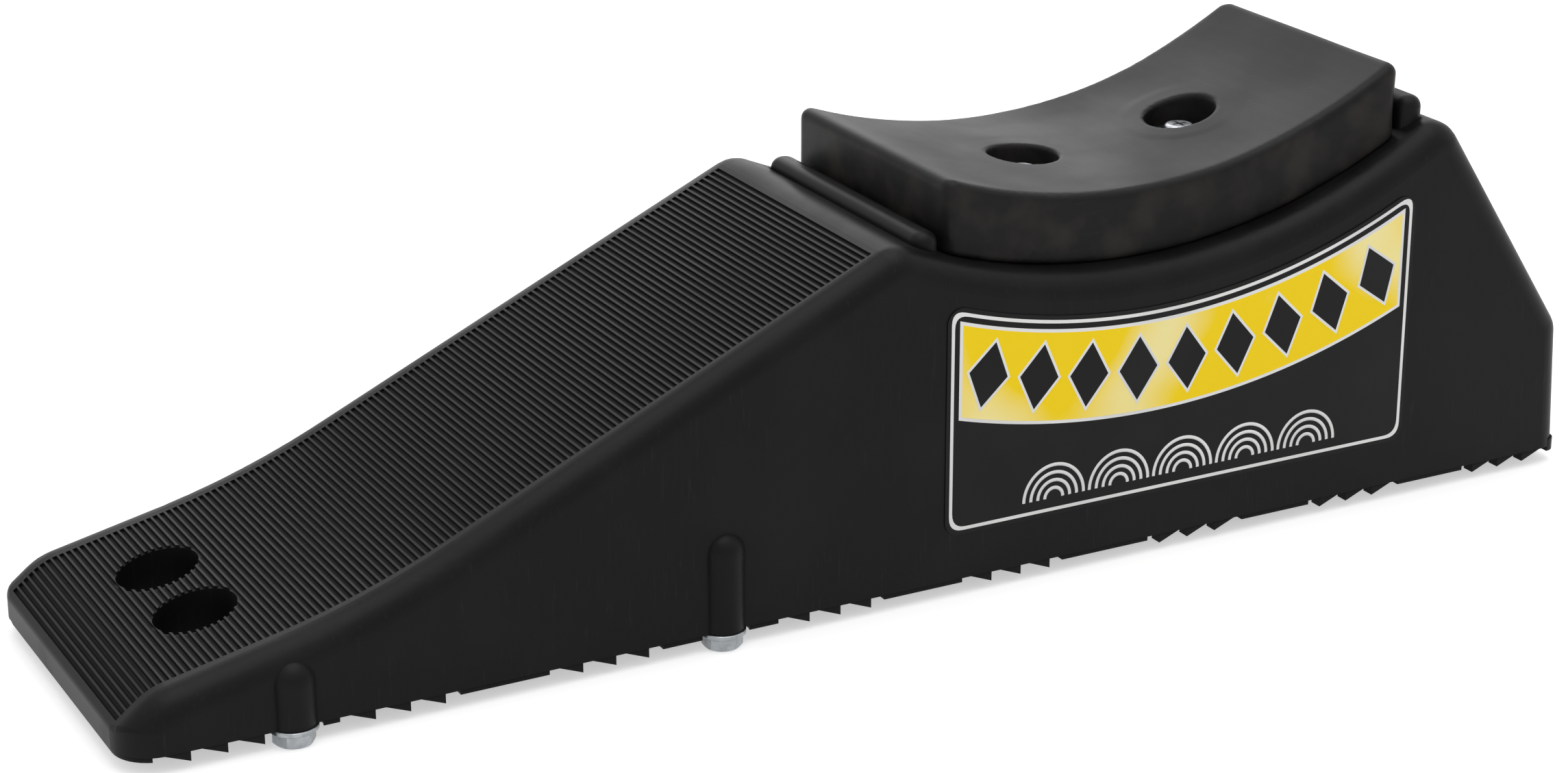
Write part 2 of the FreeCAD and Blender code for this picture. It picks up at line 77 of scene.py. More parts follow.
# Openness at which a place counts as deep in a groove, and as fully open
OPEN_RANGE = (0.6, 0.95)
OPEN_SAMPLES = 8

# Roughness that clouds add to a finish, and the range where a finish has no setting of its own
PLASTIC_DRIFT = 0.12
RUBBER_DRIFT = (-0.05, 0.14)
METAL_DRIFT = 0.18
SCREW_DULLER = 0.06
BRASS_ROUGHNESS = 0.3
LABEL_ROUGHNESS = (0.3, 0.42)
INK_ROUGHNESS = (0.32, 0.42)

# Strength of each kind of mark, and of the polish where there is no haze and where it is full
SCUFFS = 0.45
SIDE_BLOOM = 0.75
TOP_BLOOM = 0.2
POLISH_UNDER_HAZE = (1.0, 0.6)

# Brightness of a colour's worn places, as a share of the clean colour
WORN_BLACK = 2.0
WORN_WHITE = 0.9
WORN_BRASS = 0.7

# Fine grain of the rubber and the metal: its size, depth and strength
RUBBER_GRAIN = (0.0011, 0.00005)
METAL_GRAIN = (0.0004, 0.00001, 0.4)

# Width of the columns in which the pad's lowest point is looked for
COLUMN_WIDTH = 0.004

# Layers of print under the top of each shape on the label, and the fans' gap in line widths
BAND_LAYERS = 2
HALO_LAYERS = 3
LOZENGE_LAYERS = 4
FAN_LAYERS = 2
FAN_GAP = 3

# Angles in degrees past which an edge is broken, and past which it is shaded sharp
BROKEN_EDGE_ANGLE = 40
SHARP_ANGLE = 25

# Each lamp's place, the point that it faces and its width
TOP_LAMP = ((0.0, -0.2, 1.9), (0.0, 0.0, 0.0), 1.8)
BACK_LAMP = ((0.7, 1.9, 1.1), (0.0, 0.0, 0.05), 1.5)
WHITE = (1.0, 1.0, 1.0, 1.0)
FLOOR_PAINT = (0.8, 0.8, 0.8, 1.0)
SENSOR_WIDTH = 36.0


def colour(name, description, default):
    return FloatVectorProperty(
        name=name, description=description, default=default, subtype="COLOR", size=3, min=0.0, max=1.0)


def length(name, description, default):
    return FloatProperty(name=name, description=description, default=default, unit="LENGTH", min=0.0)


def share(name, description, default):
    return FloatProperty(
        name=name, description=description, default=default, subtype="FACTOR", min=0.0, max=1.0)


class PlasticSettings(bpy.types.PropertyGroup):
    """Finish of the moulded body."""

    black: colour("Plastic", "Colour of the clean moulded plastic", (0.0042, 0.0042, 0.0046))
    dusty: colour("Scuffed", "Colour where handling has greyed the plastic", (0.013, 0.013, 0.014))
    roughness: share("Roughness", "Sheen of the moulded surface", 0.40)
    grain_size: length("Grain Size", "Size of the fine moulded grain", 0.0008)
    grain_depth: length("Grain Depth", "Depth of the fine moulded grain", 0.00004)
    shine: share("Shine", "Strength of the plastic's own reflection", 0.12)
    polish: share("Polish", "Extra gloss on the faces that tyres run over", 0.075)
    polish_roughness: share("Polish Roughness", "Sheen of that gloss", 0.34)
    groove_reach: length("Groove Reach", "Distance over which a groove's walls dull its floor", 0.0016)
    groove_roughness: share("Groove Roughness", "Sheen down in the grooves", 1.0)


class RubberSettings(bpy.types.PropertyGroup):
    """Shape and finish of the pad."""

    grey: colour("Rubber", "Colour of the clean rubber", (0.0075, 0.0075, 0.0075))
    bloom: colour("Bloom", "Brownish grey that blooms on the rubber's sides", (0.028, 0.0245, 0.022))
    roughness: share("Roughness", "Sheen of the rubber", 0.46)
    shine: share("Shine", "Strength of the rubber's own reflection", 0.12)
    polish: share("Polish", "Extra gloss on the top, where tyres stand", 0.1)
    polish_roughness: share("Polish Roughness", "Sheen of that gloss", 0.42)
    voxel: length("Mesh Size", "Size of the pad's mesh faces", 0.00095)
    wave_height: length("Wave Height", "How far the rubber's sides wander in and out", 0.0005)
    wave_length: length("Wave Length", "Size of those waves", 0.045)
    hole_margin: length("Hole Margin", "Distance from a hole's axis that stays true", 0.022)
    foot_margin: length("Foot Margin", "Height above the foot that stays true", 0.004)


class LabelSettings(bpy.types.PropertyGroup):
    """Colours and sizes of the generic label."""

    black: colour("Ground", "Colour of the label's ground and its black shapes", (0.0045, 0.0045, 0.0045))
    yellow: colour("Yellow", "Colour of the band", (1.0, 0.71, 0.008))
    pale: colour("Pale Yellow", "Colour that the band fades to in places", (1.0, 0.88, 0.4))
    shine: share("Shine", "Strength of the film's reflection", 0.14)
    white: colour("White", "Colour of the lines", (0.86, 0.86, 0.85))
    layer: length("Layer", "Thickness of one layer of print", 0.00008)
    border_inset: length("Border Inset", "Distance of the border from the label's edge", 0.003)
    line: length("Line", "Width of a white line", 0.0013)
    corner: length("Corner", "Size of the border's corners", 0.006)
    band_inset: length("Band Inset", "Distance of the band from the top edge", 0.0065)
    band_depth: length("Band Depth", "Depth of the band", 0.034)
    lozenge_count: IntProperty(name="Lozenges", description="Lozenges along the band", default=9, min=1)
    lozenge_size: length("Lozenge Size", "Half height of a lozenge", 0.0125)
    lozenge_slim: share("Lozenge Slimness", "Width of a lozenge over its height", 0.68)
    halo: length("Halo", "White margin round each lozenge", 0.0018)
    fan_count: IntProperty(name="Fans", description="Fans along the foot", default=5, min=1)
    fan_lines: IntProperty(name="Fan Lines", description="Arcs in each fan", default=4, min=1)
    fan_first: length("First Arc", "Radius of a fan's smallest arc", 0.004)
    fan_step: length("Arc Step", "Distance between the arcs of a fan", 0.0031)
    fan_width: length("Fan Row", "Length of the row of fans", 0.146)


class MetalSettings(bpy.types.PropertyGroup):
    """Finish of the bolts, screws, washers and inserts."""

    zinc: colour("Zinc", "Colour of the zinc plating", (0.36, 0.382, 0.396))
    stained: colour("Stained Zinc", "Colour of the duller patches", (0.28, 0.294, 0.305))
    screw_zinc: colour("Screw Zinc", "Colour of the brighter screws in the pad", (0.56, 0.58, 0.6))
    brass: colour("Brass", "Colour of the inserts", (0.62, 0.44, 0.17))
    roughness: share("Roughness", "Sheen of the plating", 0.22)
    edge: length("Edge", "Width of the broken edges", 0.00022)
    middle_turn: FloatProperty(
        name="Middle Turn", description="How far the middle bolts are turned from the front ones",
        default=math.radians(-20), subtype="ANGLE")


class StudioSettings(bpy.types.PropertyGroup):
    """Camera, lamps and floor."""

    camera_place: FloatVectorProperty(
        name="Camera", description="Place of the camera", default=(-0.58211, -1.02292, 0.50904),
        subtype="TRANSLATION", size=3)
    yaw: FloatProperty(
        name="Yaw", description="Turn of the view to the right of +Y", default=math.radians(28.816),
        subtype="ANGLE")
    pitch: FloatProperty(
        name="Pitch", description="Tilt of the view below level", default=math.radians(20.800),
        subtype="ANGLE")
    roll: FloatProperty(
        name="Roll", description="Turn of the camera about its view", default=math.radians(0.394),
        subtype="ANGLE")
    lens: FloatProperty(
        name="Lens", description="Focal length on a 36 mm sensor", default=75.815, unit="CAMERA", min=1.0)
    floor_size: length("Floor", "Width of the pale floor", 14.0)
    floor_glow: FloatProperty(
        name="Floor Glow", description="Light of the floor as the camera sees it", default=0.5, min=0.0)
    sky: FloatProperty(
        name="Sky", description="Strength of the light from all round", default=0.72, min=0.0)
    top_power: FloatProperty(
        name="Top Lamp", description="Power of the lamp overhead", default=14.0, unit="POWER", min=0.0)
    back_power: FloatProperty(
        name="Back Lamp", description="Power of the lamp behind the ramp", default=9.0, unit="POWER", min=0.0)


class RampSettings(bpy.types.PropertyGroup):
    """All sizes and colours of the ramp's looks."""

    plastic: PointerProperty(type=PlasticSettings)
    rubber: PointerProperty(type=RubberSettings)
    label: PointerProperty(type=LabelSettings)
    metal: PointerProperty(type=MetalSettings)
    studio: PointerProperty(type=StudioSettings)


def settings():
    return bpy.context.scene.ramp_settings


# Node helpers

def add_socket(tree, name, kind, default=None, into="INPUT"):
    socket = tree.interface.new_socket(name=name, in_out=into, socket_type=kind)
    if default is not None:
        socket.default_value = default
    return socket


def math_node(tree, operation, first, second):
    """A Math node whose two inputs are sockets or plain numbers."""
    node = tree.nodes.new("ShaderNodeMath")
    node.operation = operation
    for socket, value in zip(node.inputs, (first, second)):
        if isinstance(value, bpy.types.NodeSocket):
            tree.links.new(value, socket)
        else:
            socket.default_value = value
    return node.outputs["Value"]


def mix_colours(tree, mask, first, second):
    """A colour between two colours, which are sockets or plain colours."""
    node = tree.nodes.new("ShaderNodeMix")
    node.data_type = "RGBA"
    tree.links.new(mask, node.inputs["Factor"])
    for name, value in (("A", first), ("B", second)):
        socket = next(s for s in node.inputs if s.name == name and s.type == "RGBA")
        if isinstance(value, bpy.types.NodeSocket):
            tree.links.new(value, socket)
        else:
            socket.default_value = (*value, 1.0)
    return next(s for s in node.outputs if s.type == "RGBA")


def map_mask(tree, mask, low, high):
    """Spreads a mask from 0 to 1 onto a range of values."""
    node = tree.nodes.new("ShaderNodeMapRange")
    tree.links.new(mask, node.inputs["Value"])
    node.inputs["To Min"].default_value = low
    node.inputs["To Max"].default_value = high
    return node.outputs["Result"]


def cloud_group():
    """Shader group: soft clouds over a surface, as a mask."""
    name = "Cloudy Mask"
    if name in bpy.data.node_groups:
        return bpy.data.node_groups[name]
    tree = bpy.data.node_groups.new(name, "ShaderNodeTree")
    add_socket(tree, "Vector", "NodeSocketVector")
    add_socket(tree, "Scale", "NodeSocketFloat", 40.0)
    add_socket(tree, "Detail", "NodeSocketFloat", 6.0)
    add_socket(tree, "From", "NodeSocketFloat", 0.45)
    add_socket(tree, "To", "NodeSocketFloat", 0.7)
    add_socket(tree, "Mask", "NodeSocketFloat", into="OUTPUT")
    start = tree.nodes.new("NodeGroupInput")
    end = tree.nodes.new("NodeGroupOutput")
    clouds = tree.nodes.new("ShaderNodeTexNoise")
    spread = tree.nodes.new("ShaderNodeMapRange")
    for name in ("Vector", "Scale", "Detail"):
        tree.links.new(start.outputs[name], clouds.inputs[name])
    tree.links.new(clouds.outputs["Fac"], spread.inputs["Value"])
    tree.links.new(start.outputs["From"], spread.inputs["From Min"])
    tree.links.new(start.outputs["To"], spread.inputs["From Max"])
    tree.links.new(spread.outputs["Result"], end.inputs["Mask"])
    return tree


def scratch_group():
    """Shader group: fine scratches that run one way, as a mask."""
    name = "Fine Scratches"
    if name in bpy.data.node_groups:
        return bpy.data.node_groups[name]
    tree = bpy.data.node_groups.new(name, "ShaderNodeTree")
    add_socket(tree, "Vector", "NodeSocketVector")
    add_socket(tree, "Stretch", "NodeSocketVector", (60.0, 60.0, 1400.0))
    add_socket(tree, "Amount", "NodeSocketFloat", 0.3)
    add_socket(tree, "Mask", "NodeSocketFloat", into="OUTPUT")
    start = tree.nodes.new("NodeGroupInput")
    end = tree.nodes.new("NodeGroupOutput")
    stretch = tree.nodes.new("ShaderNodeVectorMath")
    stretch.operation = "MULTIPLY"
    lines = tree.nodes.new("ShaderNodeTexNoise")
    lines.inputs["Scale"].default_value = 1.0
    lines.inputs["Detail"].default_value = 3.0
    tree.links.new(start.outputs["Vector"], stretch.inputs[0])
    tree.links.new(start.outputs["Stretch"], stretch.inputs[1])
    tree.links.new(stretch.outputs["Vector"], lines.inputs["Vector"])
    thin = tree.nodes.new("ShaderNodeMapRange")
    thin.inputs["From Min"].default_value = 0.6
    thin.inputs["From Max"].default_value = 0.78
    tree.links.new(lines.outputs["Fac"], thin.inputs["Value"])
    amount = math_node(tree, "MULTIPLY", thin.outputs["Result"], start.outputs["Amount"])
    tree.links.new(amount, end.inputs["Mask"])
    return tree


def group_node(tree, group, vector, **values):
    """Places a shader group and sets its inputs, whose names are given with capitals."""
    node = tree.nodes.new("ShaderNodeGroup")
    node.node_tree = group
    tree.links.new(vector, node.inputs["Vector"])
    for name, value in values.items():
        node.inputs[name].default_value = value
    return node.outputs["Mask"]


def new_finish(name):
    """A material, with its tree, its shader and the place on the piece."""
    material = bpy.data.materials.new(name)
    material.use_nodes = True
    tree = material.node_tree
    coordinates = tree.nodes.new("ShaderNodeTexCoord")
    return material, tree, tree.nodes["Principled BSDF"], coordinates.outputs["Object"]


def add_grain(tree, shader, place, size, depth, strength=0.6):
    """Fine bumps over a whole surface."""
    grain = tree.nodes.new("ShaderNodeTexNoise")
    grain.inputs["Scale"].default_value = 1.0 / size
    grain.inputs["Detail"].default_value = 2.0
    tree.links.new(place, grain.inputs["Vector"])
    bump = tree.nodes.new("ShaderNodeBump")
    bump.inputs["Strength"].default_value = strength
    bump.inputs["Distance"].default_value = depth
    tree.links.new(grain.outputs["Fac"], bump.inputs["Height"])
    tree.links.new(bump.outputs["Normal"], shader.inputs["Normal"])


# Finishes

def worn_colour(clean, brightness):
    return tuple(brightness * part for part in clean)


def moulded_plastic():
    looks = settings().plastic
    material, tree, shader, place = new_finish("moulded_plastic")
    clouds = group_node(tree, cloud_group(), place, Scale=26.0, Detail=7.0, From=0.47, To=0.72)
    scratches = group_node(
        tree, scratch_group(), place, Stretch=(900.0, 900.0, 70.0), Amount=0.7)
    worn = math_node(tree, "MAXIMUM", math_node(tree, "MULTIPLY", clouds, SCUFFS), scratches)
    tree.links.new(mix_colours(tree, worn, looks.black, looks.dusty), shader.inputs["Base Color"])
    open_places = openness(tree, looks.groove_reach)
    clouded = map_mask(tree, clouds, looks.roughness, looks.roughness + PLASTIC_DRIFT)
    rough = math_node(tree, "MULTIPLY", clouded, open_places)
    dull = math_node(tree, "MULTIPLY", math_node(tree, "SUBTRACT", 1.0, open_places), looks.groove_roughness)
    tree.links.new(math_node(tree, "ADD", rough, dull), shader.inputs["Roughness"])
    shader.inputs["Specular IOR Level"].default_value = looks.shine
    add_polish(tree, shader, looks, open_places)
    add_grain(tree, shader, place, looks.grain_size, looks.grain_depth)
    return material


def openness(tree, reach):
    """A mask that is one on open surfaces and falls off down in narrow grooves."""
    cover = tree.nodes.new("ShaderNodeAmbientOcclusion")
    cover.samples = OPEN_SAMPLES
    cover.only_local = True
    cover.inputs["Distance"].default_value = reach
    spread = tree.nodes.new("ShaderNodeMapRange")
    spread.inputs["From Min"].default_value = OPEN_RANGE[0]
    spread.inputs["From Max"].default_value = OPEN_RANGE[1]
    tree.links.new(cover.outputs["AO"], spread.inputs["Value"])
    return spread.outputs["Result"]


def facing_mask(tree, none_at, all_at):
    """A mask that runs from none to one between two heights of the surface's normal."""
    geometry = tree.nodes.new("ShaderNodeNewGeometry")
    parts = tree.nodes.new("ShaderNodeSeparateXYZ")
    node = tree.nodes.new("ShaderNodeMapRange")
    node.inputs["From Min"].default_value = none_at
    node.inputs["From Max"].default_value = all_at
    tree.links.new(geometry.outputs["Normal"], parts.inputs["Vector"])
    tree.links.new(parts.outputs["Z"], node.inputs["Value"])
    return node.outputs["Result"]


def add_polish(tree, shader, looks, where):
    """A thin gloss on the faces that look up, where a mask allows it."""
    upward = math_node(tree, "MULTIPLY", facing_mask(tree, *LOOKING_UP), where)
    gloss = math_node(tree, "MULTIPLY", upward, looks.polish)
    tree.links.new(gloss, shader.inputs["Coat Weight"])
    shader.inputs["Coat Roughness"].default_value = looks.polish_roughness


def moulded_rubber():
    looks = settings().rubber
    material, tree, shader, place = new_finish("moulded_rubber")
    side = facing_mask(tree, *LOOKING_SIDEWAYS)
    blotches = group_node(tree, cloud_group(), place, Scale=55.0, Detail=9.0, From=0.44, To=0.66)
    haze = group_node(tree, cloud_group(), place, Scale=14.0, Detail=5.0, From=0.4, To=0.75)
    rubbed = group_node(tree, scratch_group(), place, Stretch=(60.0, 700.0, 700.0), Amount=0.3)
    on_sides = math_node(tree, "MULTIPLY", blotches, side)
    on_top = math_node(tree, "MAXIMUM", math_node(tree, "MULTIPLY", haze, TOP_BLOOM), rubbed)
    bloom = math_node(tree, "MAXIMUM", math_node(tree, "MULTIPLY", on_sides, SIDE_BLOOM), on_top)
    tree.links.new(mix_colours(tree, bloom, looks.grey, looks.bloom), shader.inputs["Base Color"])
    low, high = (looks.roughness + drift for drift in RUBBER_DRIFT)
    tree.links.new(map_mask(tree, haze, low, high), shader.inputs["Roughness"])
    shader.inputs["Specular IOR Level"].default_value = looks.shine
    add_polish(tree, shader, looks, map_mask(tree, haze, *POLISH_UNDER_HAZE))
    add_grain(tree, shader, place, *RUBBER_GRAIN)
    return material


def plated_metal(name, clean, dull, roughness):
    material, tree, shader, place = new_finish(name)
    stains = group_node(tree, cloud_group(), place, Scale=320.0, Detail=5.0, From=0.42, To=0.7)
    tree.links.new(mix_colours(tree, stains, clean, dull), shader.inputs["Base Color"])
    tree.links.new(map_mask(tree, stains, roughness, roughness + METAL_DRIFT), shader.inputs["Roughness"])
    shader.inputs["Metallic"].default_value = 1.0
    add_grain(tree, shader, place, *METAL_GRAIN)
    return material


def label_ground():
    looks = settings().label
    material, tree, shader, place = new_finish("label_ground")
    haze = group_node(tree, cloud_group(), place, Scale=30.0, Detail=4.0, From=0.4, To=0.8)
    dull = worn_colour(looks.black, WORN_BLACK)
    tree.links.new(mix_colours(tree, haze, looks.black, dull), shader.inputs["Base Color"])
    tree.links.new(map_mask(tree, haze, *LABEL_ROUGHNESS), shader.inputs["Roughness"])
    shader.inputs["Specular IOR Level"].default_value = looks.shine
    return material


def label_ink(name, main, faded):
    """Glossy ink whose colour drifts a little over the label."""
    material, tree, shader, place = new_finish(name)
    drift = group_node(tree, cloud_group(), place, Scale=17.0, Detail=1.5, From=0.5, To=0.68)
    tree.links.new(mix_colours(tree, drift, main, faded), shader.inputs["Base Color"])
    tree.links.new(map_mask(tree, drift, *INK_ROUGHNESS), shader.inputs["Roughness"])
    shader.inputs["Specular IOR Level"].default_value = settings().label.shine
    return material


# Pieces

def new_piece(name, mesh):
    piece = bpy.data.objects.new(name, mesh)
    bpy.context.scene.collection.objects.link(piece)
    return piece


def mesh_of(name, work):
    """Ends a bmesh and returns it as a mesh whose faces point outwards."""
    bmesh.ops.recalc_face_normals(work, faces=work.faces)
    mesh = bpy.data.meshes.new(name)
    work.to_mesh(mesh)
    work.free()
    return mesh


def merged_mesh(node, name):
    """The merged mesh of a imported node, without its stored normals."""
    work = bmesh.new()
    work.from_mesh(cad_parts[node].data)
    bmesh.ops.remove_doubles(work, verts=work.verts, dist=MERGE_DISTANCE)
    mesh = bpy.data.meshes.new(name)
    work.to_mesh(mesh)
    work.free()
    stored = mesh.attributes.get("custom_normal")
    if stored:
        mesh.attributes.remove(stored)
    return mesh


def settle(source, name):
    """Turns an object with modifiers into a plain piece."""
    bpy.context.view_layer.update()
    ready = source.evaluated_get(bpy.context.evaluated_depsgraph_get())
    mesh = bpy.data.meshes.new_from_object(ready)
    mesh.name = name
    bpy.data.objects.remove(source)
    return new_piece(name, mesh)


def finish_node(node, material):
    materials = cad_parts[node].data.materials
    if materials:
        for number in range(len(materials)):
            materials[number] = material
    else:
        materials.append(material)


def nodes_named(start):
    return [name for name in sorted(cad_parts) if name.startswith(start)]


def repeated_pieces_tree():
    """Geometry Nodes: one piece on every point, turned by the point's own angles."""
    name = "Repeated Pieces"
    if name in bpy.data.node_groups:
        return bpy.data.node_groups[name]
    tree = bpy.data.node_groups.new(name, "GeometryNodeTree")
    add_socket(tree, "Places", "NodeSocketGeometry")
    add_socket(tree, "Piece", "NodeSocketObject")
    add_socket(tree, "Size", "NodeSocketFloat", 1.0)
    add_socket(tree, "Finish", "NodeSocketMaterial")
    add_socket(tree, "Pieces", "NodeSocketGeometry", into="OUTPUT")
    start = tree.nodes.new("NodeGroupInput")
    end = tree.nodes.new("NodeGroupOutput")
    piece = tree.nodes.new("GeometryNodeObjectInfo")
    turn = tree.nodes.new("GeometryNodeInputNamedAttribute")
    turn.data_type = "FLOAT_VECTOR"
    turn.inputs["Name"].default_value = "turn"
    copies = tree.nodes.new("GeometryNodeInstanceOnPoints")
    solid = tree.nodes.new("GeometryNodeRealizeInstances")
    finish = tree.nodes.new("GeometryNodeSetMaterial")
    tree.links.new(start.outputs["Places"], copies.inputs["Points"])
    tree.links.new(start.outputs["Piece"], piece.inputs["Object"])
    tree.links.new(piece.outputs["Geometry"], copies.inputs["Instance"])
    tree.links.new(turn.outputs["Attribute"], copies.inputs["Rotation"])
    tree.links.new(start.outputs["Size"], copies.inputs["Scale"])
    tree.links.new(copies.outputs["Instances"], solid.inputs["Geometry"])
    tree.links.new(solid.outputs["Geometry"], finish.inputs["Geometry"])
    tree.links.new(start.outputs["Finish"], finish.inputs["Material"])
    tree.links.new(finish.outputs["Geometry"], end.inputs["Pieces"])
    return tree


def nested_arcs_tree():
    """Geometry Nodes: half rings inside each other, as flat raised lines."""
    name = "Nested Arcs"
    if name in bpy.data.node_groups:
        return bpy.data.node_groups[name]
    tree = bpy.data.node_groups.new(name, "GeometryNodeTree")
    add_socket(tree, "Geometry", "NodeSocketGeometry")
    add_socket(tree, "Lines", "NodeSocketInt", 4)
    add_socket(tree, "First Radius", "NodeSocketFloat", 0.004)
    add_socket(tree, "Step", "NodeSocketFloat", 0.005)
    add_socket(tree, "Line Width", "NodeSocketFloat", 0.0013)
    add_socket(tree, "Thickness", "NodeSocketFloat", 0.0001)
    add_socket(tree, "Finish", "NodeSocketMaterial")
    add_socket(tree, "Arcs", "NodeSocketGeometry", into="OUTPUT")
    start = tree.nodes.new("NodeGroupInput")
    end = tree.nodes.new("NodeGroupOutput")
    middle = tree.nodes.new("GeometryNodePoints")
    arc = tree.nodes.new("GeometryNodeCurveArc")
    arc.mode = "RADIUS"
    arc.inputs["Resolution"].default_value = 25
    arc.inputs["Radius"].default_value = 1.0
    arc.inputs["Sweep Angle"].default_value = math.pi
    number = tree.nodes.new("GeometryNodeInputIndex")
    radius = math_node(
        tree, "ADD", start.outputs["First Radius"],
        math_node(tree, "MULTIPLY", number.outputs["Index"], start.outputs["Step"]))
    rings = tree.nodes.new("GeometryNodeInstanceOnPoints")
    curves = tree.nodes.new("GeometryNodeRealizeInstances")
    profile = tree.nodes.new("GeometryNodeCurvePrimitiveQuadrilateral")
    lines = tree.nodes.new("GeometryNodeCurveToMesh")
    lines.inputs["Fill Caps"].default_value = True
    stand = tree.nodes.new("GeometryNodeTransform")
    stand.inputs["Rotation"].default_value = (math.pi / 2, 0.0, 0.0)
    solid = tree.nodes.new("GeometryNodeRealizeInstances")
    finish = tree.nodes.new("GeometryNodeSetMaterial")
    tree.links.new(start.outputs["Lines"], middle.inputs["Count"])
    tree.links.new(middle.outputs[0], rings.inputs["Points"])
    tree.links.new(arc.outputs["Curve"], rings.inputs["Instance"])
    tree.links.new(radius, rings.inputs["Scale"])
    tree.links.new(rings.outputs["Instances"], curves.inputs["Geometry"])
    tree.links.new(start.outputs["Line Width"], profile.inputs["Width"])
    tree.links.new(start.outputs["Thickness"], profile.inputs["Height"])
    tree.links.new(curves.outputs["Geometry"], lines.inputs["Curve"])
    tree.links.new(profile.outputs["Curve"], lines.inputs["Profile Curve"])
    tree.links.new(lines.outputs["Mesh"], stand.inputs["Geometry"])
    tree.links.new(stand.outputs["Geometry"], solid.inputs["Geometry"])
    tree.links.new(solid.outputs["Geometry"], finish.inputs["Geometry"])
    tree.links.new(start.outputs["Finish"], finish.inputs["Material"])
    tree.links.new(finish.outputs["Geometry"], end.inputs["Arcs"])
    return tree


def grow(name, mesh, tree, values):
    """Runs a Geometry Nodes tree on a mesh and returns the result as a plain piece."""
    source = new_piece(name + "_source", mesh)
    modifier = source.modifiers.new("Growth", "NODES")
    modifier.node_group = tree
    for item in tree.interface.items_tree:
        if item.item_type == "SOCKET" and item.in_out == "INPUT" and item.name in values:
            modifier[item.identifier] = values[item.name]
    return settle(source, name)


def points_mesh(name, places, turns):
    """Loose points, each with its own turn."""
    mesh = bpy.data.meshes.new(name)
    mesh.from_pydata([tuple(place) for place in places], [], [])
    turn = mesh.attributes.new("turn", "FLOAT_VECTOR", "POINT")
    for number, angles in enumerate(turns):
        turn.data[number].vector = angles
    return mesh


def repeat(name, piece, places, turns, material, size=1.0):
    """Sets a piece on every place and removes the pattern piece."""
    values = {"Piece": piece, "Size": size, "Finish": material}
    row = grow(name, points_mesh(name + "_points", places, turns), repeated_pieces_tree(), values)
    stored = row.data.attributes.get("turn")
    if stored:
        row.data.attributes.remove(stored)
    bpy.data.objects.remove(piece)
    return row


# Pad

def pad_mesh(looks):
    """The pad's solid, remeshed evenly with soft edges."""
    source = new_piece("pad_source", merged_mesh("saddle_pad", "pad_source"))
    remesh = source.modifiers.new("Even Mesh", "REMESH")
    remesh.mode = "VOXEL"
    remesh.voxel_size = looks.voxel
    remesh.use_smooth_shade = True
    smooth = source.modifiers.new("Soft Edges", "SMOOTH")
    smooth.factor = 0.5
    smooth.iterations = 1
    return settle(source, "rubber_pad")


def wander(piece, looks):
    """Moves the rubber's sides in and out a little, clear of its foot and holes."""
    axes = [(sum(corners, Vector()) / 2) for corners in (map(Vector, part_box(node)) for node in PAD_HOLE_NODES)]
    low = {}
    vertices = piece.data.vertices
    for vertex in vertices:
        column = round(vertex.co.x / COLUMN_WIDTH)
        low[column] = min(low.get(column, vertex.co.z), vertex.co.z)
    moves = []
    for vertex in vertices:
        place = vertex.co
        above = place.z - low[round(place.x / COLUMN_WIDTH)] - looks.foot_margin
        clear = min((place.xy - axis.xy).length for axis in axes) - looks.hole_margin
        share_moved = max(0.0, min(1.0, above / looks.foot_margin, clear / looks.foot_margin))
        wave = noise.noise(place / looks.wave_length)
        moves.append(vertex.normal * (wave * looks.wave_height * share_moved))
    for vertex, move in zip(vertices, moves):
        vertex.co += move


# Label

def wall_line(node):
    """Lowest and highest point of the label's outer face, as (y, z)."""
    places = [vertex.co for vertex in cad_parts[node].data.vertices]
    bottom = min(place.z for place in places)
    top = max(place.z for place in places)
    near_bottom = min(place.y for place in places if place.z < bottom + EDGE_BAND)
    near_top = min(place.y for place in places if place.z > top - EDGE_BAND)
    return (near_bottom, bottom), (near_top, top)


def lay_on_label(mesh):
    """Moves flat print from the plane y = 0 onto the leaning face of the label."""
    (y_low, z_low), (y_high, z_high) = wall_line("side_label")
    lean = (y_high - y_low) / (z_high - z_low)
    for vertex in mesh.vertices:
        vertex.co.y += y_low + (vertex.co.z - z_low) * lean


def arc_height(x, radius):
    return SADDLE_CENTRE.z - math.sqrt(radius ** 2 - (x - SADDLE_CENTRE.x) ** 2)


def strip(name, upper, lower, back, front):
    """A thin closed strip between two rows of points in x and z."""
    work = bmesh.new()
    rows = []
    for y in (back, front):
        rows.append([work.verts.new((x, -y, z)) for x, z in upper])
        rows.append([work.verts.new((x, -y, z)) for x, z in lower])
    back_up, back_low, front_up, front_low = rows
    last = len(upper) - 1
    for a in range(last):
        b = a + 1
        work.faces.new((front_up[a], front_up[b], front_low[b], front_low[a]))
        work.faces.new((back_up[a], back_low[a], back_low[b], back_up[b]))
        work.faces.new((back_up[a], back_up[b], front_up[b], front_up[a]))
        work.faces.new((back_low[a], front_low[a], front_low[b], back_low[b]))
    if upper[0] != upper[-1]:
        for a in (0, last):
            work.faces.new((back_up[a], front_up[a], front_low[a], back_low[a]))
    bmesh.ops.remove_doubles(work, verts=work.verts, dist=MERGE_DISTANCE)
    return mesh_of(name, work)


def band_edge(left, right, radius, columns=64):
    steps = [left + (right - left) * number / columns for number in range(columns + 1)]
    return [(x, arc_height(x, radius)) for x in steps]


def soft_corner(before, corner, after, steps=6):
    """Points of a smooth bend from one point to another, towards a corner."""
    points = []
    for number in range(steps + 1):
        t = number / steps
        weights = ((1 - t) ** 2, 2 * t * (1 - t), t ** 2)
        pulls = list(zip(weights, (before, corner, after)))
        points.append(tuple(sum(weight * place[axis] for weight, place in pulls) for axis in (0, 1)))
    return points


